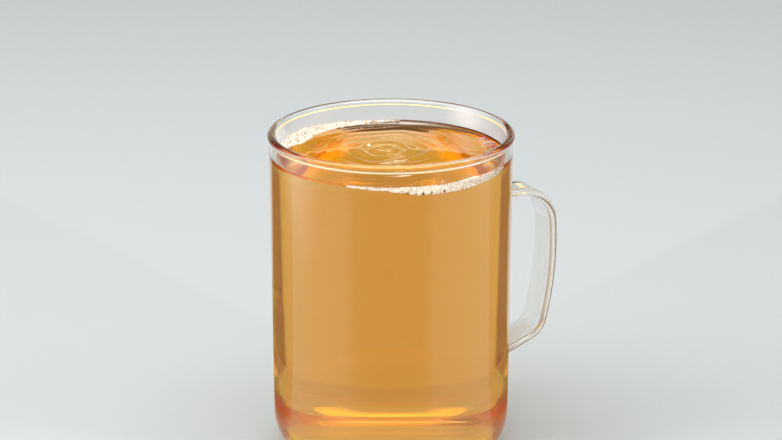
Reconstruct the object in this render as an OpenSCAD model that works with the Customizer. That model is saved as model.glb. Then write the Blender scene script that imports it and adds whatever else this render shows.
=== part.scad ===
// Straight-sided glass mug with a flat strap handle, filled with tea.
// The origin is the centre of the base; +Z is up and the handle stands out along +X.

/* [Mug] */
// Height from the base to the top of the rim
mug_h = 115; // [90:1:160]
// Outer diameter of the straight wall
mug_d = 83; // [66:1:110]
// Thickness of the wall
wall_t = 2.4; // [1.8:0.1:3.4]
// Thickness of the base
base_t = 4; // [3:0.5:8]
// Outer radius where the wall turns into the base
heel_r = 12; // [8:0.5:16]
// Inner radius where the wall turns into the floor
floor_r = 9; // [5:0.5:14]
// Thickness of the rounded bead along the rim
bead_t = 2.8; // [2.2:0.1:4]
// How far the bead stands out from the wall
bead_out = 0.5; // [0:0.1:1]

/* [Handle] */
// Width of the strap
strap_w = 13.4; // [9:0.2:18]
// Thickness of the strap, whose edges are fully rounded
strap_t = 2.8; // [2:0.1:4]
// How far the middle of the strap stands out from the wall at its widest
reach = 20.1; // [15:0.5:32]
// Drop from the top of the rim to the middle of the upper arm
arm_drop = 27.2; // [18:0.5:40]
// Drop from the upper arm to the widest point of the grip
bow_drop = 21.8; // [18:0.5:28]
// Drop from the upper arm to the centre of the lower bend
grip_drop = 47.9; // [38:0.5:56]
// Radius of the outward bow of the grip
bow_r = 115; // [80:5:200]
// Radius of the bend between the upper arm and the grip
upper_bend_r = 13; // [8:0.5:16]
// Radius of the bend between the grip and the lower arm
lower_bend_r = 8; // [5:0.5:12]
// Slope of the lower arm, down towards the wall
lower_arm_tilt = 22.5; // [0:0.5:35]

/* [Tea] */
// Free height from the tea up to the top of the rim
tea_drop = 8.8; // [7:0.2:40]
// Gap between the glass and what fills it
fill_gap = 0.05; // [0.02:0.01:0.2]
// Height that the meniscus climbs up the wall
meniscus_h = 1.2; // [0.6:0.1:2]
// Width of the meniscus
meniscus_w = 2.5; // [1.5:0.1:4]
// Number of ripple rings
ripple_count = 3; // [1:1:4]
// Distance from one ripple ring to the next
ripple_pitch = 5; // [3:0.5:6]
// Width of the hollow of a ripple
ripple_w = 3.5; // [1:0.1:5]
// Depth of the hollow of a ripple
ripple_depth = 0.2; // [0.1:0.05:0.4]
// Distance from the mug's axis to the middle of the ripples
ripple_shift = 8; // [0:0.5:10]

/* [Foam] */
// Greatest width of the foam at the back
back_foam_w = 6; // [3:0.5:9]
// Half the height of that foam where it meets the wall
back_foam_h = 2.2; // [1:0.1:3]
// Greatest width of the thin foam that trails off from it
film_foam_w = 1.6; // [1:0.1:3]
// Half the height of that thin foam
film_foam_h = 1; // [0.5:0.1:2]
// Greatest width of the foam at the front
front_foam_w = 4; // [2:0.5:7]
// Half the height of that foam where it meets the wall
front_foam_h = 1.6; // [1:0.1:3]

/* [Hidden] */
$fn = 120;

mug_r = mug_d / 2;
inner_r = mug_r - wall_t;
rim_z = mug_h - bead_t / 2;
bead_r = mug_r + bead_out - bead_t / 2;

arm_z = mug_h - arm_drop;
bow_z = arm_z - bow_drop;
bow_x = mug_r + reach - bow_r;
upper_bend_z = arm_z - upper_bend_r;
upper_bend_a = asin((upper_bend_z - bow_z) / (bow_r - upper_bend_r));
upper_bend_x = bow_x + (bow_r - upper_bend_r) * cos(upper_bend_a);
lower_bend_z = arm_z - grip_drop;
lower_bend_a = asin((lower_bend_z - bow_z) / (bow_r - lower_bend_r));
lower_bend_x = bow_x + (bow_r - lower_bend_r) * cos(lower_bend_a);

// The grip and the arms lap the bends between them, and are a hair thicker there.
lap = 0.4;
lap_extra = 0.1;

tea_z = mug_h - tea_drop;
fill_r = inner_r - fill_gap;
meniscus_steps = 4;
ripple_a = 81;

back_foam_a = 117;
back_foam_span = 26;
back_foam_lift = 0.6;
film_foam_a = 90;
film_foam_span = 34;
film_foam_lift = 0.5;
front_foam_a = -87;
front_foam_span = 38;
front_foam_lift = -0.3;

// Half of the upright section of a round body whose lower corner is rounded.
module half_section(r, bottom, top, corner_r) {
    translate([0, bottom + corner_r]) square([r, top - bottom - corner_r]);
    translate([0, bottom]) square([r - corner_r, corner_r]);
    intersection() {
        translate([r - corner_r, bottom + corner_r]) circle(corner_r);
        translate([r - corner_r, bottom]) square(corner_r);
    }
}

module glass_wall() {
    rotate_extrude() {
        difference() {
            half_section(mug_r, 0, rim_z, heel_r);
            half_section(inner_r, base_t, mug_h, floor_r);
        }
        translate([bead_r, rim_z]) circle(bead_t / 2);
    }
}

// Cross-section of the strap, square to its route.
module strap_section(extra = 0) {
    t = strap_t + extra;
    w = strap_w + extra;
    square([t, w - t], center = true);
    for (side = [-1, 1]) translate([0, side * (w - t) / 2]) circle(t / 2);
}

// A stretch of the strap that bends about the point (x, z) of the handle's plane.
module strap_bend(x, z, r, from, to, extra = 0) {
    translate([x, 0, z]) rotate([90, 0, 0]) rotate([0, 0, from])
        rotate_extrude(angle = to - from) translate([r, 0]) strap_section(extra);
}

// A straight arm from the end of a bend into the wall. side is 1 for the upper arm and -1 for the lower.
module strap_arm(x, z, r, at, side) {
    translate([x, 0, z]) rotate([90, 0, 0]) rotate([0, 0, at]) translate([r, -side * lap, 0])
        rotate([-90 * side, 0, 0]) linear_extrude(mug_r) strap_section(lap_extra);
}

module handle() {
    lower_end_a = lower_arm_tilt - 90;
    lap_a = lap / bow_r * 180 / PI;
    difference() {
        union() {
            strap_bend(upper_bend_x, upper_bend_z, upper_bend_r, upper_bend_a, 90);
            strap_bend(lower_bend_x, lower_bend_z, lower_bend_r, lower_end_a, lower_bend_a);
            strap_bend(bow_x, bow_z, bow_r, lower_bend_a - lap_a, upper_bend_a + lap_a, lap_extra);
            strap_arm(upper_bend_x, upper_bend_z, upper_bend_r, 90, 1);
            strap_arm(lower_bend_x, lower_bend_z, lower_bend_r, lower_end_a, -1);
        }
        cylinder(h = mug_h, r = mug_r - wall_t / 2);
    }
}

module mug() {
    color("lightcyan", 0.4) {
        glass_wall();
        handle();
    }
}
// A lens-shaped ring, wide in r and low in z, that comes out of the wall as a crescent.
// The ring is so large and so far off the axis that span degrees away from its middle it is gone.
module foam_ring(at, span, w, h, lift) {
    end_r = inner_r + w;
    shift = (end_r * end_r - inner_r * inner_r) / (2 * (inner_r - end_r * cos(span)));
    lens_r = (w * w + h * h) / (2 * h);
    rotate([0, 0, at]) translate([-shift, 0, tea_z + lift]) rotate_extrude($fn = 360)
        translate([inner_r + shift, 0]) intersection() {
            translate([0, h - lens_r]) circle(lens_r);
            translate([0, lens_r - h]) circle(lens_r);
        }
}

module back_rings() {
    foam_ring(back_foam_a, back_foam_span, back_foam_w, back_foam_h, back_foam_lift);
    foam_ring(film_foam_a, film_foam_span, film_foam_w, film_foam_h, film_foam_lift);
}

module front_ring() {
    foam_ring(front_foam_a, front_foam_span, front_foam_w, front_foam_h, front_foam_lift);
}

// The space inside the glass from the middle of the tea up to the rim.
module upper_space() {
    translate([0, 0, tea_z / 2]) cylinder(h = mug_h - tea_z / 2, r = fill_r);
}

module foam_back() {
    color("seashell") intersection() {
        back_rings();
        upper_space();
    }
}

module foam_front() {
    color("seashell") intersection() {
        front_ring();
        upper_space();
    }
}

// Tea up to its level, with the meniscus along the wall.
module tea_body() {
    middle_z = tea_z / 2;
    rotate_extrude() {
        half_section(fill_r, base_t + fill_gap, middle_z, floor_r - fill_gap);
        polygon(concat(
            [[0, tea_z], [0, middle_z], [fill_r, middle_z]],
            [for (i = [meniscus_steps:-1:0]) let (t = i / meniscus_steps)
                [fill_r - meniscus_w * (1 - t), tea_z + meniscus_h * t * t]]
        ));
    }
}

// Shallow round-bottomed hollows, one ring outside the other.
module ripples() {
    groove_r = (ripple_w * ripple_w / 4 + ripple_depth * ripple_depth) / (2 * ripple_depth);
    rotate([0, 0, ripple_a]) translate([ripple_shift, 0, tea_z])
        for (i = [1:ripple_count]) rotate_extrude() intersection() {
            translate([i * ripple_pitch, groove_r - ripple_depth]) circle(groove_r);
            translate([i * ripple_pitch - ripple_w / 2, -1]) square([ripple_w, 1 + meniscus_h]);
        }
}

module tea() {
    color("peru") difference() {
        tea_body();
        ripples();
        back_rings();
        front_ring();
    }
}

mug();
tea();
foam_back();
foam_front();
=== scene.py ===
"""Looks of a glass cup of tea: clear mug, golden tea with ripples, foam and bubbles, in a pale studio."""

import math

import bmesh
import bpy
import numpy as np
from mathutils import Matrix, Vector


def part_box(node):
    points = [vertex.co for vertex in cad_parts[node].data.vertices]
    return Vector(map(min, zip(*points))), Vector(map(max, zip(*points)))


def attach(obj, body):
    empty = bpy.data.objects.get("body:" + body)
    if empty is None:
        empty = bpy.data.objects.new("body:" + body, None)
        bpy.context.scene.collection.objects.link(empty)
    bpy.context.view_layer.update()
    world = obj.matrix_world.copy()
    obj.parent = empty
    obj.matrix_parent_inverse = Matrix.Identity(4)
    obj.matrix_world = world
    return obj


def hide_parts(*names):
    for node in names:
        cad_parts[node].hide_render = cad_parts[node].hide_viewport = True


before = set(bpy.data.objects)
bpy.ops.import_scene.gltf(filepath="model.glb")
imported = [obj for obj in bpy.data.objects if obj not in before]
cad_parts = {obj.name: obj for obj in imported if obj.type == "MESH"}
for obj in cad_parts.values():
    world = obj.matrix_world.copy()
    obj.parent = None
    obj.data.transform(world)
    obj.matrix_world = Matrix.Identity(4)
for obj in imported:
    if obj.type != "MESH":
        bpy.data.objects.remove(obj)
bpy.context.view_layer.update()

MM = 0.001
RANDOM = np.random.default_rng(11)

# Sizes in millimetres. The frame gives the outer ones and the rest repeat the part's own values.
MUG_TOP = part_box("mug")[1] / MM
TEA_LOW, TEA_HIGH = (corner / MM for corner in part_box("tea"))
RIM_Y = MUG_TOP.y
MUG_H = MUG_TOP.z
BEAD_T = 2.8
BEAD_OUT = 0.5
BEAD_FILLET = 1.0
FILL_GAP = 0.05
MUG_R = RIM_Y - BEAD_OUT
INNER_R = TEA_HIGH.y + FILL_GAP
BEAD_R = RIM_Y - BEAD_T / 2
RIM_Z = MUG_H - BEAD_T / 2
BASE_T = TEA_LOW.z - FILL_GAP
HEEL_R = 12.0
FLOOR_R = 9.0

STRAP_W = 13.4
STRAP_T = 2.8
REACH = 20.1
ARM_DROP = 27.2
BOW_DROP = 21.8
GRIP_DROP = 47.9
BOW_R = 115.0
UPPER_BEND_R = 13.0
LOWER_BEND_R = 8.0
LOWER_ARM_TILT = math.radians(22.5)

MENISCUS_H = 1.2
MENISCUS_W = 2.5
TEA_Z = TEA_HIGH.z - MENISCUS_H
WALL_OVERLAP = 0.15

# The view: where the camera stands about the middle of the rim, how far its axis dips, and its lens.
VIEW_AZIMUTH = math.radians(-25.0)
RIM_ELEVATION = math.radians(16.4)
AXIS_ELEVATION = math.radians(19.05)
CAMERA_DISTANCE = 631.0
LENS = 85.4


# ---------------------------------------------------------------- helpers

def arc(cx, cz, rx, rz, start, end, steps):
    """Points of an elliptical arc in the (r, z) plane, with both ends. Angles are in degrees."""
    angles = np.radians(np.linspace(start, end, steps + 1))
    return [(cx + rx * math.cos(a), cz + rz * math.sin(a)) for a in angles]


def line(start, end, step):
    """Evenly spaced values from start to end, with both ends, about step apart."""
    return list(np.linspace(start, end, max(1, round(abs(end - start) / step)) + 1))


def make_mesh(name, points, faces, material):
    """A smooth-shaded object from points in millimetres, with its normals made consistent."""
    mesh = bpy.data.meshes.new(name)
    mesh.from_pydata((np.asarray(points, float) * MM).tolist(), [], faces)
    work = bmesh.new()
    work.from_mesh(mesh)
    bmesh.ops.recalc_face_normals(work, faces=work.faces[:])
    work.to_mesh(mesh)
    work.free()
    mesh.polygons.foreach_set("use_smooth", [True] * len(mesh.polygons))
    mesh.materials.append(material)
    piece = bpy.data.objects.new(name, mesh)
    bpy.context.scene.collection.objects.link(piece)
    return piece


def lathe_points(profile, columns):
    """Rings of points, one for each (r, z) of the profile."""
    turn = np.arange(columns) * 2 * math.pi / columns
    r = np.array([p[0] for p in profile])[:, None]
    z = np.array([p[1] for p in profile])[:, None]
    return np.stack([r * np.cos(turn), r * np.sin(turn), z + 0 * turn], -1).reshape(-1, 3)


def ring_faces(first, second, count):
    """Quads between two rings that start at the point numbers first and second."""
    return [
        (first + i, first + (i + 1) % count, second + (i + 1) % count, second + i)
        for i in range(count)
    ]


def fan_faces(ring, centre, count):
    """Triangles between a ring and its centre point."""
    return [(ring + i, ring + (i + 1) % count, centre) for i in range(count)]


def smooth_step(t):
    t = np.clip(t, 0, 1)
    return t * t * (3 - 2 * t)


# ---------------------------------------------------------------- materials

GLASS_IOR = 1.47
LIQUID_IOR = 1.333
TEA_COLOUR = (0.99, 0.785, 0.05)
TEA_DENSITY = 40.0
FROTH_SHADE = (0.90, 0.83, 0.74)
FROTH_PALE = (0.98, 0.94, 0.88)
# The froth's hollows: tea colour darkened with painted shade, tan in the gaps between bubbles and near
# black-brown inside open bubbles.
GAP_TEA_AND_SHADE = (0.66, 0.50, 0.33)
PIT_TEA_AND_SHADE = (0.10, 0.05, 0.012)
GAP_HOLLOW = 0.55


def new_material(name):
    material = bpy.data.materials.new(name)
    material.use_nodes = True
    nodes = material.node_tree.nodes
    return material, nodes, material.node_tree.links, nodes["Principled BSDF"]


def noise(nodes, links, scale, detail=2.0, stretch=(1, 1, 1)):
    """A noise texture in object space, with scale in cells a metre. stretch slows it along an axis."""
    where = nodes.new("ShaderNodeTexCoord")
    mapping = nodes.new("ShaderNodeMapping")
    mapping.inputs["Scale"].default_value = stretch
    texture = nodes.new("ShaderNodeTexNoise")
    texture.inputs["Scale"].default_value = scale
    texture.inputs["Detail"].default_value = detail
    links.new(where.outputs["Object"], mapping.inputs["Vector"])
    links.new(mapping.outputs["Vector"], texture.inputs["Vector"])
    return texture


def spread(nodes, links, source, low, high):
    """Maps a 0 to 1 output to the range low to high."""
    ranged = nodes.new("ShaderNodeMapRange")
    ranged.inputs["To Min"].default_value = low
    ranged.inputs["To Max"].default_value = high
    links.new(source, ranged.inputs["Value"])
    return ranged.outputs["Result"]


def add_bump(nodes, links, shader, height, strength, distance):
    bump = nodes.new("ShaderNodeBump")
    bump.inputs["Strength"].default_value = strength
    bump.inputs["Distance"].default_value = distance
    links.new(height, bump.inputs["Height"])
    links.new(bump.outputs["Normal"], shader.inputs["Normal"])


def blend_colours(nodes, links, factor, first, second):
    mix = nodes.new("ShaderNodeMix")
    mix.data_type = "RGBA"
    mix.inputs["A"].default_value = (*first, 1)
    mix.inputs["B"].default_value = (*second, 1)
    links.new(factor, mix.inputs["Factor"])
    return mix.outputs["Result"]


def glass_material():
    """Clear blown glass, with the faint waviness and handling haze of a real mug."""
    material, nodes, links, shader = new_material("mug_glass")
    shader.inputs["Transmission Weight"].default_value = 1.0
    shader.inputs["IOR"].default_value = GLASS_IOR
    haze = noise(nodes, links, 60, 3)
    links.new(spread(nodes, links, haze.outputs["Fac"], 0.0, 0.02), shader.inputs["Roughness"])
    tint = blend_colours(nodes, links, haze.outputs["Fac"], (0.985, 0.995, 0.99), (1, 1, 1))
    links.new(tint, shader.inputs["Base Color"])
    waves = noise(nodes, links, 28, 1, stretch=(1, 1, 0.35))
    add_bump(nodes, links, shader, waves.outputs["Fac"], 0.25, 0.0004)
    return material


def tea_material():
    """Clear tea, whose colour is absorbed along the light's way through it."""
    material, nodes, links, shader = new_material("tea")
    shader.inputs["Transmission Weight"].default_value = 1.0
    shader.inputs["IOR"].default_value = LIQUID_IOR
    swirl = noise(nodes, links, 40, 2)
    links.new(spread(nodes, links, swirl.outputs["Fac"], 0.0, 0.015), shader.inputs["Roughness"])
    tint = blend_colours(nodes, links, swirl.outputs["Fac"], (1, 0.985, 0.96), (1, 1, 1))
    links.new(tint, shader.inputs["Base Color"])
    add_bump(nodes, links, shader, swirl.outputs["Fac"], 0.1, 0.0003)
    absorption = nodes.new("ShaderNodeVolumeAbsorption")
    absorption.inputs["Color"].default_value = (*TEA_COLOUR, 1)
    absorption.inputs["Density"].default_value = TEA_DENSITY
    links.new(absorption.outputs["Volume"], nodes["Material Output"].inputs["Volume"])
    return material


def foam_material():
    """Off-white froth: pale bubble tops, with tea-coloured hollows darkened by painted shade where the mesh's
    "hollow" value is high.
    """
    material, nodes, links, shader = new_material("foam")
    depth = nodes.new("ShaderNodeAttribute")
    depth.attribute_name = "hollow"
    grain = noise(nodes, links, 2500, 2)
    pale = blend_colours(nodes, links, grain.outputs["Fac"], FROTH_SHADE, FROTH_PALE)
    # Painted shade by hollow value: white on the bubble tops, shaded tea tan in the gaps, near black-brown in
    # open bubbles.
    ramp = nodes.new("ShaderNodeValToRGB")
    ramp.color_ramp.elements[0].color = (1, 1, 1, 1)
    ramp.color_ramp.elements[1].color = (*PIT_TEA_AND_SHADE, 1)
    tan = ramp.color_ramp.elements.new(GAP_HOLLOW)
    tan.color = (*GAP_TEA_AND_SHADE, 1)
    links.new(depth.outputs["Fac"], ramp.inputs["Fac"])
    stained = nodes.new("ShaderNodeMix")
    stained.data_type = "RGBA"
    stained.blend_type = "MULTIPLY"
    stained.inputs["Factor"].default_value = 1.0
    links.new(pale, stained.inputs["A"])
    links.new(ramp.outputs["Color"], stained.inputs["B"])
    links.new(stained.outputs["Result"], shader.inputs["Base Color"])
    links.new(spread(nodes, links, grain.outputs["Fac"], 0.25, 0.5), shader.inputs["Roughness"])
    shader.inputs["Subsurface Weight"].default_value = 0.3
    shader.inputs["Subsurface Radius"].default_value = (0.6, 0.45, 0.3)
    shader.inputs["Subsurface Scale"].default_value = 0.001
    add_bump(nodes, links, shader, grain.outputs["Fac"], 0.4, 0.00015)
    return material


def bubble_material():
    """The thin liquid skin of a clear bubble."""
    material, nodes, links, shader = new_material("bubble_skin")
    shader.inputs["Transmission Weight"].default_value = 1.0
    shader.inputs["IOR"].default_value = LIQUID_IOR
    grain = noise(nodes, links, 900, 1)
    links.new(spread(nodes, links, grain.outputs["Fac"], 0.0, 0.03), shader.inputs["Roughness"])
    tint = blend_colours(nodes, links, grain.outputs["Fac"], (1, 0.96, 0.88), (1, 1, 1))
    links.new(tint, shader.inputs["Base Color"])
    return material


# ---------------------------------------------------------------- mug

COLUMNS = 256
ROOT_COLUMNS = 8
ROOT_ROWS = 8
ROOT_RISE = 1.6
ROOT_OUT = 2.4
FILLET_STEPS = 6
STRAP_STEP = 1.5
BEND_STEPS = 18
LOWER_BEND_STEPS = 14
CENTRE_R = 3.0
FLAT_STEP = 3.0
WALL_STEP = 2.5
HEEL_STEPS = 22
FLOOR_STEPS = 18
BEAD_FILLET_STEPS = 6
BEAD_STEPS = 16
LIP_STEPS = 12


def strap_outline():
    """(u, v) round the strap's section: along the outer side, round one edge, back, round the other."""
    half = (STRAP_W - STRAP_T) / 2
    edge = STRAP_T / 2
    across = np.linspace(-half, half, 2 * ROOT_COLUMNS + 1)
    turn = np.linspace(math.pi / 2, -math.pi / 2, ROOT_ROWS + 1)
    points = [(edge, v) for v in across]
    points += [(edge * math.sin(a), half + edge * math.cos(a)) for a in turn[1:]]
    points += [(-edge, v) for v in across[::-1][1:]]
    points += [(-edge * math.sin(a), -half - edge * math.cos(a)) for a in turn[1:-1]]
    return points


def bend(cx, cz, r, start, end, steps):
    """Stations of the strap's middle line round an arc, clockwise."""
    return [
        ((cx + r * math.cos(a), cz + r * math.sin(a)), (math.sin(a), -math.cos(a)))
        for a in np.linspace(start, end, steps + 1)
    ]


def strap_route():
    """Stations of the strap's middle line as ((x, z), (tangent x, tangent z)), from its upper root down."""
    arm_z = MUG_H - ARM_DROP
    bow_z = arm_z - BOW_DROP
    bow_x = MUG_R + REACH - BOW_R
    upper_z = arm_z - UPPER_BEND_R
    upper_a = math.asin((upper_z - bow_z) / (BOW_R - UPPER_BEND_R))
    upper_x = bow_x + (BOW_R - UPPER_BEND_R) * math.cos(upper_a)
    lower_z = arm_z - GRIP_DROP
    lower_a = math.asin((lower_z - bow_z) / (BOW_R - LOWER_BEND_R))
    lower_x = bow_x + (BOW_R - LOWER_BEND_R) * math.cos(lower_a)
    end_a = LOWER_ARM_TILT - math.pi / 2
    root_x = MUG_R + ROOT_OUT
    route = [((x, arm_z), (1.0, 0.0)) for x in line(root_x, upper_x, STRAP_STEP)[:-1]]
    route += bend(upper_x, upper_z, UPPER_BEND_R, math.pi / 2, upper_a, BEND_STEPS)
    route += bend(bow_x, bow_z, BOW_R, upper_a, lower_a, BEND_STEPS)[1:]
    route += bend(lower_x, lower_z, LOWER_BEND_R, lower_a, end_a, LOWER_BEND_STEPS)[1:]
    (end_x, end_z), (tx, tz) = route[-1]
    reach = (end_x - root_x) / -tx
    route += [((end_x + s * tx, end_z + s * tz), (tx, tz)) for s in line(0, reach, STRAP_STEP)[1:]]
    return route


def strap_rings(route, outline):
    """The section's points at each station."""
    rings = []
    for (x, z), (tx, tz) in route:
        rings.append([(x - tz * u, v, z + tx * u) for u, v in outline])
    return rings


def to_polar(point):
    x, y, z = point
    return np.array([math.atan2(y, x), z, math.hypot(x, y)])


def from_polar(polar):
    return (polar[2] * math.cos(polar[0]), polar[2] * math.sin(polar[0]), polar[1])


def root_z(station):
    """Height at which the strap's middle line meets the wall."""
    (x, z), (tx, tz) = station
    return z + (MUG_R - x) / tx * tz


def root_fillets(ring, tangent, border):
    """Rings that flare from the wall's border points into the strap's first ring."""
    tx, tz = tangent
    rings = [[] for _ in range(FILLET_STEPS - 1)]
    for wall_point, arm_point in zip(border, ring):
        x, y, z = arm_point
        run = (math.sqrt(MUG_R ** 2 - y ** 2) - x) / tx
        corner = (x + run * tx, y, z + run * tz)
        a, b, c = to_polar(wall_point), to_polar(corner), to_polar(arm_point)
        for k in range(1, FILLET_STEPS):
            t = k / FILLET_STEPS
            rings[k - 1].append(from_polar((1 - t) ** 2 * a + 2 * t * (1 - t) * b + t * t * c))
    return rings


def mug_profile(root_bands):
    """(r, z) down the middle of the base, out, up the wall, over the bead and back down inside.
    Also gives the profile's index of each band's lowest row."""
    profile = [(r, 0.0) for r in line(CENTRE_R, MUG_R - HEEL_R, FLAT_STEP)[:-1]]
    profile += arc(MUG_R - HEEL_R, HEEL_R, HEEL_R, HEEL_R, -90, 0, HEEL_STEPS)
    fillet_x = MUG_R + BEAD_FILLET
    reach = BEAD_T / 2 + BEAD_FILLET
    fillet_z = RIM_Z - math.sqrt(reach ** 2 - (fillet_x - BEAD_R) ** 2)
    touch = math.degrees(math.atan2(RIM_Z - fillet_z, fillet_x - BEAD_R))
    starts = []
    z = HEEL_R
    for low, high in root_bands:
        profile += [(MUG_R, h) for h in line(z, low, WALL_STEP)[1:]]
        starts.append(len(profile) - 1)
        profile += [(MUG_R, h) for h in np.linspace(low, high, ROOT_ROWS + 1)[1:]]
        z = high
    profile += [(MUG_R, h) for h in line(z, fillet_z, WALL_STEP)[1:]]
    profile += arc(fillet_x, fillet_z, BEAD_FILLET, BEAD_FILLET, 180, 180 - touch, BEAD_FILLET_STEPS)[1:]
    profile += arc(BEAD_R, RIM_Z, BEAD_T / 2, BEAD_T / 2, -touch, 90, BEAD_STEPS)[1:]
    profile += arc(BEAD_R, RIM_Z, BEAD_R - INNER_R, BEAD_T / 2, 90, 180, LIP_STEPS)[1:]
    profile += [(INNER_R, h) for h in line(RIM_Z, BASE_T + FLOOR_R, WALL_STEP)[1:]]
    profile += arc(INNER_R - FLOOR_R, BASE_T + FLOOR_R, FLOOR_R, FLOOR_R, 0, -90, FLOOR_STEPS)[1:]
    profile += [(r, BASE_T) for r in line(INNER_R - FLOOR_R, CENTRE_R, FLAT_STEP)[1:]]
    return profile, starts


def border_numbers(row, upright):
    """Point numbers round a root's opening in the wall, in the order of the strap's outline."""
    rows = [row + k for k in range(ROOT_ROWS + 1)]
    if upright:
        rows = rows[::-1]
    across = [c % COLUMNS for c in range(-ROOT_COLUMNS, ROOT_COLUMNS + 1)]
    corners = [(rows[0], c) for c in across]
    corners += [(r, across[-1]) for r in rows[1:]]
    corners += [(rows[-1], c) for c in across[::-1][1:]]
    corners += [(r, across[0]) for r in rows[::-1][1:-1]]
    return [r * COLUMNS + c for r, c in corners]


def vessel_faces(rows, openings):
    """Quads of the lathed vessel, apart from those inside the strap's two openings."""
    cut = {
        (row + k, c % COLUMNS)
        for row in openings
        for k in range(ROOT_ROWS)
        for c in range(-ROOT_COLUMNS, ROOT_COLUMNS)
    }
    faces = []
    for i in range(rows - 1):
        quads = ring_faces(i * COLUMNS, (i + 1) * COLUMNS, COLUMNS)
        faces += [quad for c, quad in enumerate(quads) if (i, c) not in cut]
    return faces


def join_rings(numbers):
    """Quads between rings of the same size, each given as its list of point numbers."""
    size = len(numbers[0])
    return [
        (first[i], first[(i + 1) % size], second[(i + 1) % size], second[i])
        for first, second in zip(numbers, numbers[1:])
        for i in range(size)
    ]


def make_mug(material):
    """One closed skin: the lathed vessel, with the strap flowing out of two openings in its wall."""
    outline = strap_outline()
    route = strap_route()
    rings = strap_rings(route, outline)
    half_low = STRAP_T / 2 / math.cos(LOWER_ARM_TILT) + ROOT_RISE
    half_high = STRAP_T / 2 + ROOT_RISE
    low_z, high_z = root_z(route[-1]), root_z(route[0])
    bands = [(low_z - half_low, low_z + half_low), (high_z - half_high, high_z + half_high)]
    profile, starts = mug_profile(bands)
    points = lathe_points(profile, COLUMNS).tolist()
    faces = vessel_faces(len(profile), starts)
    points += [(0, 0, profile[0][1]), (0, 0, profile[-1][1])]
    faces += fan_faces(0, len(points) - 2, COLUMNS)
    faces += fan_faces((len(profile) - 1) * COLUMNS, len(points) - 1, COLUMNS)

    upper = border_numbers(starts[1], True)
    lower = border_numbers(starts[0], False)
    strap = root_fillets(rings[0], route[0][1], [points[n] for n in upper])
    strap += rings
    strap += root_fillets(rings[-1], route[-1][1], [points[n] for n in lower])[::-1]
    numbers = [upper]
    for ring in strap:
        numbers.append(list(range(len(points), len(points) + len(outline))))
        points += ring
    numbers.append(lower)
    return make_mesh("mug_glass", points, faces + join_rings(numbers), material)


# ---------------------------------------------------------------- tea

RIPPLE_AZIMUTH = math.radians(81)
RIPPLE_SHIFT = 8.0
RIPPLE_PITCH = 5.0
RIPPLE_HEIGHT = 0.16
RIPPLE_FADE = 15.0
# The slow waves that bend the rings, as (size, turn along x, turn along y, start).
RING_BENDS = ((1.1, 0.16, 0.0, 1.0), (0.9, 0.0, 0.21, -0.4), (0.5, 0.33, -0.27, 0.0))
SWELL_HEIGHT = 0.09
CALM_W = 6.0
TEA_COLUMNS = 288
TEA_WALL_STEP = 3.0
MENISCUS_STEP = 0.18
SURFACE_STEP = 0.45
SURFACE_HOLE_R = 0.4


def tea_height(x, y):
    """Height of the tea's surface: the meniscus, a set of rings bent by slow waves, and a few slow swells."""
    r = np.hypot(x, y)
    rise = np.clip((r - (INNER_R - MENISCUS_W)) / MENISCUS_W, 0, 1.1)
    cx = RIPPLE_SHIFT * math.cos(RIPPLE_AZIMUTH)
    cy = RIPPLE_SHIFT * math.sin(RIPPLE_AZIMUTH)
    far = np.hypot(x - cx, y - cy)
    warp = sum(size * np.sin(kx * x + ky * y + start) for size, kx, ky, start in RING_BENDS)
    rings = RIPPLE_HEIGHT * np.cos(2 * math.pi * (far + warp) / RIPPLE_PITCH) * np.exp(-far / RIPPLE_FADE)
    swell = SWELL_HEIGHT * np.sin(0.23 * x + 0.11 * y + 0.6) * np.sin(0.19 * y - 0.07 * x + 1.7)
    calm = smooth_step((INNER_R - r) / CALM_W)
    return TEA_Z + MENISCUS_H * rise ** 2 + (rings + swell) * calm


def make_tea(material):
    """One closed body that reaches just into the glass, with a rippled top."""
    out_r = INNER_R + WALL_OVERLAP
    floor_z = BASE_T - WALL_OVERLAP
    bend_r = out_r - FLOOR_R
    bend_z = floor_z + FLOOR_R
    profile = [(r, floor_z) for r in line(CENTRE_R, bend_r, FLAT_STEP)[:-1]]
    profile += arc(bend_r, bend_z, FLOOR_R, FLOOR_R, -90, 0, FLOOR_STEPS)
    profile += [(out_r, h) for h in line(bend_z, TEA_Z, TEA_WALL_STEP)[1:]]
    first_top = len(profile)
    top = line(out_r, INNER_R - MENISCUS_W, MENISCUS_STEP)
    top += line(INNER_R - MENISCUS_W, SURFACE_HOLE_R, SURFACE_STEP)[1:]
    profile += [(r, TEA_Z) for r in top]
    points = lathe_points(profile, TEA_COLUMNS)
    surface = points[first_top * TEA_COLUMNS:]
    surface[:, 2] = tea_height(surface[:, 0], surface[:, 1])
    middle = [(0, 0, floor_z), (0, 0, float(tea_height(np.zeros(1), np.zeros(1))[0]))]
    points = points.tolist() + middle
    faces = []
    for i in range(len(profile) - 1):
        faces += ring_faces(i * TEA_COLUMNS, (i + 1) * TEA_COLUMNS, TEA_COLUMNS)
    faces += fan_faces(0, len(points) - 2, TEA_COLUMNS)
    faces += fan_faces((len(profile) - 1) * TEA_COLUMNS, len(points) - 1, TEA_COLUMNS)
    return make_mesh("tea_body", points, faces, material)


# ---------------------------------------------------------------- foam and bubbles

# The froth's grid step, the radius of its pressed skin just inside the glass, and its least sizes.
FOAM_STEP = 0.13
FOAM_WALL_R = INNER_R + 0.2
FOAM_MIN_WIDTH = 0.12
FOAM_MIN_HEIGHT = 0.15
FOAM_EDGE_RISE = 0.02
FOAM_EDGE_T = 0.35
FOAM_LOW_LIMIT = 0.6
# The power by which the upper skin falls from the glass to its edge, the small bubbles' radii and number,
# and how much of a bubble's height shows upward and inward.
FOAM_SLOPE = 1.35
FROTH_SIZES = (0.13, 0.16, 0.19, 0.23, 0.3)
FROTH_PER_MM2 = 9
TOP_RELIEF = 0.62
SIDE_RELIEF = 0.35

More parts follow.
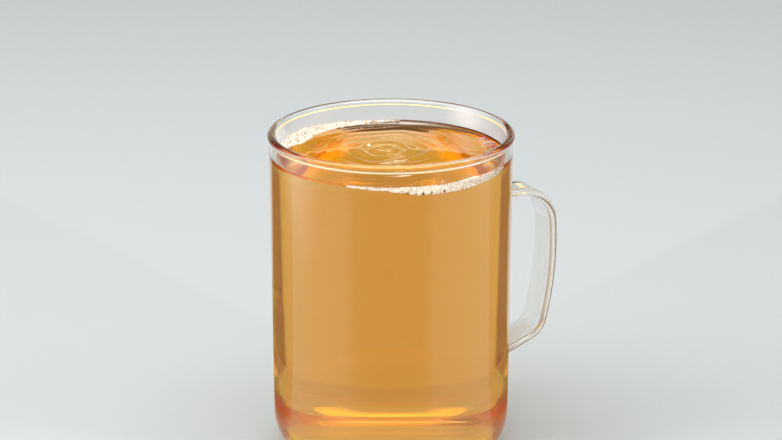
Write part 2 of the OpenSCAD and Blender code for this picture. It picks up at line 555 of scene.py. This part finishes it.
# Open bubbles in the froth as (along, across, radius): along the band from its start, and across the top
# skin from the glass inward, or across the pressed skin upward from the tea's level.
BACK_OPEN = ((48.0, 4.0, 0.5), (40.5, 2.4, 0.5), (42.2, 3.9, 0.35), (51.0, 2.3, 0.4), (33.0, 1.6, 0.3))
FRONT_PRESSED = (
    (19.4, -1.1, 0.75), (24.6, -1.2, 0.5), (27.4, -1.1, 0.4), (31.7, -1.1, 0.5), (16.2, -0.7, 0.35),
)

DOME_COLUMNS = 40
DOME_ROWS = 14
FILM_SHARE = 0.18
DOME_SINK = 0.06
# (azimuth, inset from the wall, radius, rise) of the three that make the loop, and (azimuth, half span,
# inset) of the groups of strays.
LOOP_BUBBLES = ((-18.5, 0.7, 2.3, 1.4), (-8.0, 0.6, 2.9, 1.9), (2.8, 0.7, 2.2, 1.3))
STRAY_GROUPS = ((126, 24, 1.2), (100, 40, 3.2), (-86, 30, 4.2))
STRAYS_IN_GROUP = 16
STRAY_DEPTH = 2.2


def smooth_noise(count, cell, strength):
    """Smooth random values along a line of count points, one random knot every cell points."""
    knots = RANDOM.normal(0, strength, int(count / cell) + 4)
    at = np.arange(count) / cell
    index = at.astype(int)
    t = smooth_step(at - index)
    return knots[index] * (1 - t) + knots[index + 1] * t


def shape_along(t, knots):
    """Smoothly interpolated values at t in 0 to 1, through (t, value) knots."""
    places = np.array([k[0] for k in knots])
    values = np.array([k[1] for k in knots])
    index = np.clip(np.searchsorted(places, t, side="right") - 1, 0, len(places) - 2)
    part = (t - places[index]) / (places[index + 1] - places[index])
    return values[index] + (values[index + 1] - values[index]) * smooth_step(part)


def bubble_relief(along, across, count, large):
    """Height of a packed layer of bubble tops over a grid, and how deep each point sits between them.
    along and across are the grid's own coordinates in millimetres. large lists (along, across, radius)."""
    relief = np.zeros(along.shape)
    hollow = np.full(along.shape, GAP_HOLLOW)
    spots = [
        (RANDOM.uniform(along.min(), along.max()), RANDOM.uniform(across.min(), across.max()), size)
        for size in RANDOM.choice(FROTH_SIZES, count)
    ]
    for x, y, radius in spots:
        near = slice(*np.searchsorted(along[0], (x - radius, x + radius)))
        inside = 1 - ((along[:, near] - x) ** 2 + (across[:, near] - y) ** 2) / radius ** 2
        cap = radius * np.sqrt(np.clip(inside, 0, 1))
        relief[:, near] = np.maximum(relief[:, near], cap * 0.8)
        hollow[:, near] = np.minimum(hollow[:, near], GAP_HOLLOW * (1 - np.clip(inside * 2.5, 0, 1)))
    # Open bubbles take the highest hollow value, which the froth's material paints darkest as the shade
    # inside them.
    for x, y, radius in large:
        far = np.hypot(along - x, across - y) / radius
        pit = np.clip(1.15 - far, 0, 1)
        swollen = radius * 0.35 * np.sqrt(np.clip(1 - far ** 2, 0, 1))
        relief = relief * smooth_step((far - 0.75) * 3) + swollen
        hollow = np.where(far < 1.0, smooth_step(pit * 2.2), hollow)
    return relief, hollow


def foam_outline(t, width_knots, high_knots, low_knots):
    """The band's width, top and bottom at each t, ragged by small random steps."""
    count = len(t)
    width = shape_along(t, width_knots)
    ragged = smooth_noise(count, 9, 0.22) + smooth_noise(count, 3, 0.13)
    width = width + np.minimum(width, 1) * ragged
    high = shape_along(t, high_knots) + smooth_noise(count, 4, 0.07)
    low = shape_along(t, low_knots) + smooth_noise(count, 3, 0.10)
    return np.maximum(width, FOAM_MIN_WIDTH), np.maximum(high, low + FOAM_MIN_HEIGHT), low


def round_the_wall(r, angle, z):
    """Points at the radii r and heights z, one column for each angle."""
    return np.stack([r * np.cos(angle), r * np.sin(angle), z], -1)


def foam_top(t, angle, length, rows, width, edge_z, top_z, large):
    """The upper skin, from the glass inward to the band's edge, and how hollow it is at each point."""
    u = np.linspace(0, 1, rows)[:, None]
    inward = width * u
    z = edge_z + (top_z - edge_z) * (1 - u) ** FOAM_SLOPE
    along = np.broadcast_to(t * length, z.shape)
    steps = np.hypot(np.diff(inward, axis=0), np.diff(z, axis=0))
    across = np.cumsum(np.vstack([np.zeros(len(t)), steps]), axis=0)
    count = int(length * across.max() * FROTH_PER_MM2)
    relief, hollow = bubble_relief(along, across, count, large)
    thin = smooth_step(u * 12) * np.clip((1 - t) * t * 60, 0, 1)
    lift = relief * TOP_RELIEF * thin
    r = FOAM_WALL_R - inward - lift * SIDE_RELIEF * (u < 0.97)
    return round_the_wall(r, angle, z + lift), hollow


def foam_pressed(t, angle, length, rows, low, top_z, large):
    """The skin pressed flat against the glass, from its bottom up, and how hollow it is at each point."""
    bottom = TEA_Z + np.minimum(low, FOAM_LOW_LIMIT)
    z = np.array([bottom + (top_z - bottom) * k / rows for k in range(rows)])
    along = np.broadcast_to(t * length, z.shape)
    count = int(length * (z.max() - z.min()) * FROTH_PER_MM2)
    _, hollow = bubble_relief(along, z - TEA_Z, count, large)
    return round_the_wall(FOAM_WALL_R + 0 * z, angle, z), hollow


def closed_band(grid):
    """Points and faces of a grid whose rows run round a loop, with both of its ends shut by a fan."""
    rows, columns = grid.shape[:2]
    points = grid.reshape(-1, 3).tolist()
    faces = []
    for i in range(rows):
        j = (i + 1) % rows
        faces += [
            (i * columns + c, i * columns + c + 1, j * columns + c + 1, j * columns + c)
            for c in range(columns - 1)
        ]
    for c in (0, columns - 1):
        points.append(np.mean(grid[:, c], 0).tolist())
        faces += [(i * columns + c, ((i + 1) % rows) * columns + c, len(points) - 1) for i in range(rows)]
    return points, faces


def make_foam(name, middle, span, width_knots, high_knots, low_knots, opened, pressed, material):
    """A band of froth along the wall. Knots give, from one end to the other, how far it reaches inward,
    how high it climbs and how deep it hangs, in millimetres about the tea's level. opened and pressed are its
    open bubbles, in its upper skin and against the glass."""
    length = math.radians(span) * INNER_R
    columns = int(length / FOAM_STEP)
    t = np.linspace(0, 1, columns)
    angle = math.radians(middle - span / 2) + t * math.radians(span)
    width, high, low = foam_outline(t, width_knots, high_knots, low_knots)
    edge_r = FOAM_WALL_R - width
    edge_z = tea_height(edge_r * np.cos(angle), edge_r * np.sin(angle)) + FOAM_EDGE_RISE
    top_z = TEA_Z + high
    highest = max(k[1] for k in high_knots)
    rows = int((max(k[1] for k in width_knots) + highest) / FOAM_STEP)
    top, top_hollow = foam_top(t, angle, length, rows, width, edge_z, top_z, opened)
    under = [
        round_the_wall(FOAM_WALL_R - width * share, angle, edge_z - FOAM_EDGE_T)
        for share in (0.66, 0.33)
    ]
    wall_rows = max(4, int((highest - min(k[1] for k in low_knots)) / FOAM_STEP))
    wall, wall_hollow = foam_pressed(t, angle, length, wall_rows, low, top_z, pressed)
    points, faces = closed_band(np.concatenate([top, under, wall], 0))
    hollow = np.concatenate([top_hollow, np.zeros((len(under), columns)), wall_hollow], 0)
    piece = make_mesh(name, points, faces, material)
    shade = piece.data.attributes.new("hollow", "FLOAT", "POINT")
    shade.data.foreach_set("value", np.append(hollow.reshape(-1), [0.0, 0.0]).astype(np.float32))
    return piece


def dome(centre, radius, rise, base, film):
    """Points and faces of a clear bubble: a thin cap that stands on the tea."""
    turns = [math.pi / 2 * k / DOME_ROWS for k in range(DOME_ROWS)]
    outer = [(radius * math.cos(a), base + rise * math.sin(a)) for a in turns]
    inner = [((radius - film) * math.cos(a), base + (rise - film) * math.sin(a)) for a in turns]
    points = lathe_points(outer + inner, DOME_COLUMNS)
    points[:, :2] += centre
    points = points.tolist()
    points += [(*centre, base + rise), (*centre, base + rise - film)]
    inner_start = DOME_ROWS * DOME_COLUMNS
    faces = []
    for i in range(DOME_ROWS - 1):
        low, high = i * DOME_COLUMNS, (i + 1) * DOME_COLUMNS
        faces += ring_faces(low, high, DOME_COLUMNS)
        faces += ring_faces(inner_start + low, inner_start + high, DOME_COLUMNS)
    faces += ring_faces(0, inner_start, DOME_COLUMNS)
    faces += fan_faces(inner_start - DOME_COLUMNS, len(points) - 2, DOME_COLUMNS)
    faces += fan_faces(2 * inner_start - DOME_COLUMNS, len(points) - 1, DOME_COLUMNS)
    return points, faces


def make_bubbles(material):
    """Clear bubbles that float on the tea: a loop of three near the handle and strays by the foam."""
    spots = list(LOOP_BUBBLES)
    for middle, span, inset in STRAY_GROUPS:
        for _ in range(STRAYS_IN_GROUP):
            a = middle + RANDOM.uniform(-span, span)
            size = RANDOM.uniform(0.25, 0.55)
            spots.append((a, inset + RANDOM.uniform(0, STRAY_DEPTH), size, size * 0.8))
    points, faces = [], []
    for azimuth, inset, radius, rise in spots:
        a = math.radians(azimuth)
        reach = INNER_R - inset - radius
        x, y = reach * math.cos(a), reach * math.sin(a)
        base = float(tea_height(np.array([x]), np.array([y]))[0]) - DOME_SINK
        more, loops = dome((x, y), radius, rise, base, FILM_SHARE * radius)
        faces += [tuple(n + len(points) for n in loop) for loop in loops]
        points += more
    return make_mesh("bubbles", points, faces, material)


def make_froth_back(material):
    """The foam at the back left: its width, top and bottom from its thin end to its thick one."""
    return make_foam(
        "froth_back", 103, 86,
        ((0, 0.3), (0.12, 0.9), (0.35, 1.7), (0.6, 3.6), (0.8, 5.6), (0.93, 3.6), (1, 0.2)),
        ((0, 1.1), (0.15, 1.35), (0.4, 1.9), (0.65, 2.6), (0.85, 2.3), (1, 0.9)),
        ((0, -0.3), (0.5, -0.5), (1, -0.3)),
        BACK_OPEN, (), material,
    )


def make_froth_front(material):
    """The foam at the front right: its width, top and bottom from its thin end to its thick one."""
    return make_foam(
        "froth_front", -92, 88,
        ((0, 0.15), (0.12, 0.3), (0.3, 0.9), (0.52, 2.6), (0.74, 3.8), (0.91, 2.2), (1, 0.2)),
        ((0, 1.2), (0.2, 1.25), (0.35, 1.3), (0.45, 1.35), (0.83, 1.35), (1, 1.2)),
        ((0, 0.6), (0.2, 0.2), (0.3, -0.7), (0.4, -1.7), (0.65, -1.7), (0.9, -0.8), (1, 0.5)),
        (), FRONT_PRESSED, material,
    )


# ---------------------------------------------------------------- studio

FLOOR_COLOUR = (0.70, 0.73, 0.72)
FLOOR_REACH = 4000.0
FLOOR_Z = -0.3
FLAG_Z = 0.4
LAMP_AIM_Z = 60.0
FROTH_LIGHT_COLOUR = (1, 0.90, 0.76)
# The kinds of ray that see a sheet.
BOTH = "glossy transmission"
BROWN = (0.34, 0.20, 0.05)
AMBER = (0.27, 0.12, 0.005)
GOLD_GLOW = (2.0, 1.25, 0.2)
# Where the light through the tea crosses over behind the mug.
WAIST_AWAY = 66.0
WAIST_LOW = 0.5
WAIST_H = 84.0


def look(piece, place, target):
    piece.location = place
    piece.rotation_euler = (Vector(target) - Vector(place)).to_track_quat("-Z", "Y").to_euler()


def around(azimuth, distance, height):
    """A point about the mug's axis. azimuth is in degrees from the camera, positive to the viewer's right."""
    a = VIEW_AZIMUTH + math.radians(azimuth)
    return Vector((math.sin(a) * distance, -math.cos(a) * distance, height)) * MM


def make_camera():
    camera = bpy.data.objects.new("camera", bpy.data.cameras.new("camera"))
    bpy.context.scene.collection.objects.link(camera)
    flat = CAMERA_DISTANCE * math.cos(RIM_ELEVATION)
    place = around(0, flat, RIM_Z + CAMERA_DISTANCE * math.sin(RIM_ELEVATION))
    aim = place + around(180, math.cos(AXIS_ELEVATION), -math.sin(AXIS_ELEVATION)) / MM
    look(camera, place, aim)
    camera.data.lens = LENS
    camera.data.sensor_width = 36.0
    camera.data.clip_start = 0.01
    bpy.context.scene.camera = camera


def softbox(name, azimuth, distance, height, size, watts, colour=(1, 1, 1)):
    """A soft light that faces the middle of the mug and that the camera doesn't see."""
    data = bpy.data.lights.new(name, "AREA")
    data.shape = "RECTANGLE"
    data.size, data.size_y = (s * MM for s in size)
    data.energy = watts
    data.color = colour
    lamp = bpy.data.objects.new(name, data)
    bpy.context.scene.collection.objects.link(lamp)
    look(lamp, around(azimuth, distance, height), (0, 0, LAMP_AIM_Z * MM))
    lamp.visible_camera = False
    return lamp


def floor_material():
    """Matt studio paper."""
    material, nodes, links, shader = new_material("floor_paper")
    grain = noise(nodes, links, 900, 2)
    darker = tuple(c * 0.97 for c in FLOOR_COLOUR)
    tint = blend_colours(nodes, links, grain.outputs["Fac"], darker, FLOOR_COLOUR)
    links.new(tint, shader.inputs["Base Color"])
    shader.inputs["Roughness"].default_value = 0.9
    return material


def make_floor():
    corners = [(x * FLOOR_REACH, y * FLOOR_REACH, FLOOR_Z) for x, y in ((-1, -1), (1, -1), (1, 1), (-1, 1))]
    floor = make_mesh("floor", corners, [(0, 1, 2, 3)], floor_material())


def sheet_material(name, colour):
    """Even brightness that the mesh's "solid" value fades to clear."""
    material = bpy.data.materials.new(name)
    material.use_nodes = True
    nodes, links = material.node_tree.nodes, material.node_tree.links
    nodes.clear()
    solid = nodes.new("ShaderNodeAttribute")
    solid.attribute_name = "solid"
    glow = nodes.new("ShaderNodeEmission")
    glow.inputs["Color"].default_value = (*colour, 1)
    clear = nodes.new("ShaderNodeBsdfTransparent")
    mix = nodes.new("ShaderNodeMixShader")
    out = nodes.new("ShaderNodeOutputMaterial")
    links.new(solid.outputs["Fac"], mix.inputs["Fac"])
    links.new(clear.outputs["BSDF"], mix.inputs[1])
    links.new(glow.outputs["Emission"], mix.inputs[2])
    links.new(mix.outputs["Shader"], out.inputs["Surface"])
    return material


def sheet(name, grid, alpha, colour, seen):
    """A soft-edged sheet that only reflections or refractions see: a glowing card, or a flag where its
    colour is dark. grid holds rows of points, and alpha says how solid the sheet is at each."""
    grid = np.asarray(grid, float)
    rows, columns = grid.shape[:2]
    faces = [
        (j * columns + i, j * columns + i + 1, (j + 1) * columns + i + 1, (j + 1) * columns + i)
        for j in range(rows - 1)
        for i in range(columns - 1)
    ]
    piece = make_mesh(name, grid.reshape(-1, 3), faces, sheet_material(name, colour))
    shade = piece.data.attributes.new("solid", "FLOAT", "POINT")
    shade.data.foreach_set("value", np.asarray(alpha, np.float32).reshape(-1))
    piece.visible_camera = False
    piece.visible_diffuse = False
    piece.visible_shadow = False
    piece.visible_volume_scatter = False
    piece.visible_glossy = "glossy" in seen
    piece.visible_transmission = "transmission" in seen


def soft_edge(values, share):
    """1 inside and 0 at both ends of a 0 to 1 range, easing over a share of it."""
    return smooth_step(values / share) * smooth_step((1 - values) / share)


def in_view(right, away, height):
    """Points given to the viewer's right, away from the viewer and up, all from the mug's foot."""
    a = VIEW_AZIMUTH
    x = right * math.cos(a) - away * math.sin(a)
    y = right * math.sin(a) + away * math.cos(a)
    return np.stack([x, y, height + 0 * x], -1)


def floor_flag(name, corners, colour, seen, edge=0.025):
    """A flag on the floor, soft along all its edges. Its (right, away) corners run from the near one by the
    middle to the far one, and back on the outer side."""
    u, v = np.meshgrid(np.linspace(0, 1, 81), np.linspace(0, 1, 81))
    near_in, far_in, far_out, near_out = (np.array(c, float) for c in corners)
    inner = near_in + (far_in - near_in) * v[..., None]
    outer = near_out + (far_out - near_out) * v[..., None]
    flat = inner + (outer - inner) * u[..., None]
    alpha = soft_edge(u, edge) * soft_edge(v, edge)
    sheet(name, in_view(flat[..., 0], flat[..., 1], FLAG_Z), alpha, colour, seen)


def flag_pair(name, corners, colour, seen, edge=0.025):
    """The same floor flag at the right and, mirrored, at the left."""
    floor_flag(name + "_right", corners, colour, seen, edge)
    floor_flag(name + "_left", [(-right, away) for right, away in corners], colour, seen, edge)


def upright_card(name, azimuth, distance, width, low, high, colour, seen, fade_top=1.0):
    """A glowing card that faces the mug. It is brightest along its middle, and fades by fade_top upward."""
    u, v = np.meshgrid(np.linspace(0, 1, 33), np.linspace(0, 1, 25))
    a = math.radians(azimuth)
    right = math.sin(a) * distance + math.cos(a) * (u - 0.5) * width
    away = -math.cos(a) * distance + math.sin(a) * (u - 0.5) * width
    alpha = np.sin(math.pi * u) ** 2 * smooth_step(v * 2.5) * (1 - fade_top * smooth_step(v * 1.4 - 0.4))
    sheet(name, in_view(right, away, low + (high - low) * v), alpha, colour, seen)


def flat_backdrop(name, distance, width, low, high, colour, seen):
    """A plain upright sheet behind the mug."""
    u, v = np.meshgrid(np.linspace(0, 1, 33), np.linspace(0, 1, 17))
    alpha = soft_edge(u, 0.15) * soft_edge(v, 0.1)
    sheet(name, in_view((u - 0.5) * width, distance + 0 * u, low + (high - low) * v), alpha, colour, seen)


def waist_card(name, stops, colour):
    """An upright card behind the mug, where the light through the tea crosses over. At every height the
    tea's middle shows only what stands near the axis there, and its side bands what stands beside that.
    stops are the places to the right where the card begins, is solid, ends being solid and ends."""
    u, v = np.meshgrid(np.linspace(0, 1, 49), np.linspace(0, 1, 25))
    right = stops[0] + (stops[3] - stops[0]) * u
    alpha = smooth_step((right - stops[0]) / (stops[1] - stops[0]))
    alpha = alpha * smooth_step((stops[3] - right) / (stops[3] - stops[2])) * smooth_step((1 - v) * 12)
    sheet(name, in_view(right, WAIST_AWAY + 0 * u, WAIST_LOW + WAIST_H * v), alpha, colour, "transmission")


def back_collar(name, top, bottom, colour):
    """A dark cone close behind the mug's wall, just below the tea's level. It slopes with the camera's
    own line of sight, so that only the steep view down through the tea's surface meets it."""
    u, v = np.meshgrid(np.linspace(-1, 1, 61), np.linspace(0, 1, 9))
    a = math.pi - u * math.radians(62)
    reach = MUG_R + 1.2 + 14 * v
    height = top + (bottom - top) * v
    alpha = smooth_step((1 - np.abs(u)) * 2.5) * smooth_step(1.0 - v * 0.3)
    sheet(name, in_view(np.sin(a) * reach, -np.cos(a) * reach, height), alpha, colour, "transmission")


def overhead_card(name, width, near, far, height, colour):
    """A level glowing sheet above the mug, for the highlights along the rim and the handle."""
    u, v = np.meshgrid(np.linspace(0, 1, 25), np.linspace(0, 1, 25))
    alpha = soft_edge(u, 0.2) * soft_edge(v, 0.2)
    sheet(name, in_view((u - 0.5) * width, near + (far - near) * v, height), alpha, colour, "glossy")


def glow_ring(name, inner, outer, colour, fade):
    """A glowing sheet on the floor under or round the mug: the light that the tea gathers there."""
    u, v = np.meshgrid(np.linspace(0, 2 * math.pi, 65), np.linspace(0, 1, 9))
    reach = inner + (outer - inner) * v
    alpha = 1 - fade * smooth_step(v)
    sheet(name, in_view(np.cos(u) * reach, np.sin(u) * reach, -0.1), alpha, colour, "transmission")


def froth_lights(piece, front_watts, back_watts):
    """Two lamps for one piece of froth alone, before and behind it. The glass doesn't hold them back."""
    lit = bpy.data.collections.new(piece.name + "_lit")
    lit.objects.link(piece)
    for side, azimuth, height, watts in (("front", -10, 520, front_watts), ("back", 170, 260, back_watts)):
        name = piece.name + "_light_" + side
        lamp = softbox(name, azimuth, 700, height, (400, 400), watts, FROTH_LIGHT_COLOUR)
        lamp.light_linking.receiver_collection = lit
        lamp.light_linking.blocker_collection = lit


def make_sky():
    world = bpy.data.worlds.new("studio")
    bpy.context.scene.world = world
    world.use_nodes = True
    sky = world.node_tree.nodes["Background"]
    sky.inputs["Color"].default_value = (0.95, 0.98, 1.0, 1)
    sky.inputs["Strength"].default_value = 0.58


def make_flags():
    """Darker and tinted sheets: what the tea's body, its side bands, its back edge and its foot show."""
    flag_pair("flag", ((12, 66), (360, 474), (560, 120), (60, -10)), BROWN, "glossy")
    waist_card("waist_body", (-11, -8, 8, 11), (0.68, 0.57, 0.40))
    waist_card("waist_right", (7, 10, 36, 44), AMBER)
    waist_card("waist_left", (-44, -36, -9, -6), AMBER)
    flag_pair("foot", ((5, 55), (8, 66), (42, 66), (36, 55)), AMBER, "transmission", 0.12)
    flag_pair("spark", ((2, 43), (5, 55), (36, 55), (26, 43)), GOLD_GLOW, "transmission", 0.15)
    before = ((-38, -58), (-372, -420), (372, -420), (38, -58))
    floor_flag("flag_front", before, (0.03, 0.03, 0.03), "glossy", 0.2)
    behind = ((-62, 46), (-62, 118), (62, 118), (62, 46))
    floor_flag("floor_behind", behind, (0.62, 0.50, 0.34), "transmission", 0.2)
    back_collar("back_collar", 92, 87.5, (0.03, 0.02, 0.01))
    flat_backdrop("flag_back", 420, 1300, 200, 460, (0.06, 0.05, 0.04), BOTH)


def make_cards():
    """Glowing sheets: the highlights on the glass, and the light that gathers in and under the tea."""
    overhead_card("card_overhead", 800, -520, 160, 560, (6.0, 5.9, 5.7))
    glow_ring("glow_under", 0, 41, (1.0, 1.35, 0.35), 0)
    glow_ring("glow_round", 41, 54, (2.4, 1.6, 0.35), 1)
    upright_card("card_left", -87, 190, 200, 0, 300, (4.6, 4.5, 4.3), "glossy")
    upright_card("card_right", 86, 190, 170, 0, 300, (1.5, 1.35, 1.1), "glossy", 0.6)
    upright_card("card_back", 180, 380, 900, 70, 212, (2.2, 1.5, 0.62), "transmission")
    upright_card("card_glint", 179, 410, 26, 268, 288, (12, 11, 9.5), BOTH, 0.0)
    upright_card("card_wall", 142, 46, 26, 103, 117, (0.88, 0.88, 0.85), "transmission", 0.0)


def make_studio():
    make_floor()
    make_sky()
    softbox("key", -75, 900, 800, (700, 700), 3.5)
    softbox("overhead", 0, 1, 1000, (1200, 1200), 4.5)
    softbox("right_fill", 80, 1000, 500, (400, 800), 1)
    make_flags()
    make_cards()


# ---------------------------------------------------------------- assembly

LIGHT_BOUNCES = 96


def place(piece, slot, node=None):
    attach(piece, "root")
    if node:
        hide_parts(node)


make_camera()
make_studio()
place(make_mug(glass_material()), "glass", "mug")
place(make_tea(tea_material()), "tea", "tea")
froth = foam_material()
froth_back = make_froth_back(froth)
froth_front = make_froth_front(froth)
place(froth_back, "foam", "foam_back")
place(froth_front, "foam", "foam_front")
froth_lights(froth_back, 4.2, 4.0)
froth_lights(froth_front, 6.5, 1.0)
place(make_bubbles(bubble_material()), "foam")

# Light takes dozens of bounces through the thick glass of the bead and the heel before it comes out.
scene = bpy.context.scene
scene.view_settings.view_transform = "Standard"
scene.cycles.max_bounces = LIGHT_BOUNCES
scene.cycles.transmission_bounces = LIGHT_BOUNCES
scene.cycles.glossy_bounces = LIGHT_BOUNCES
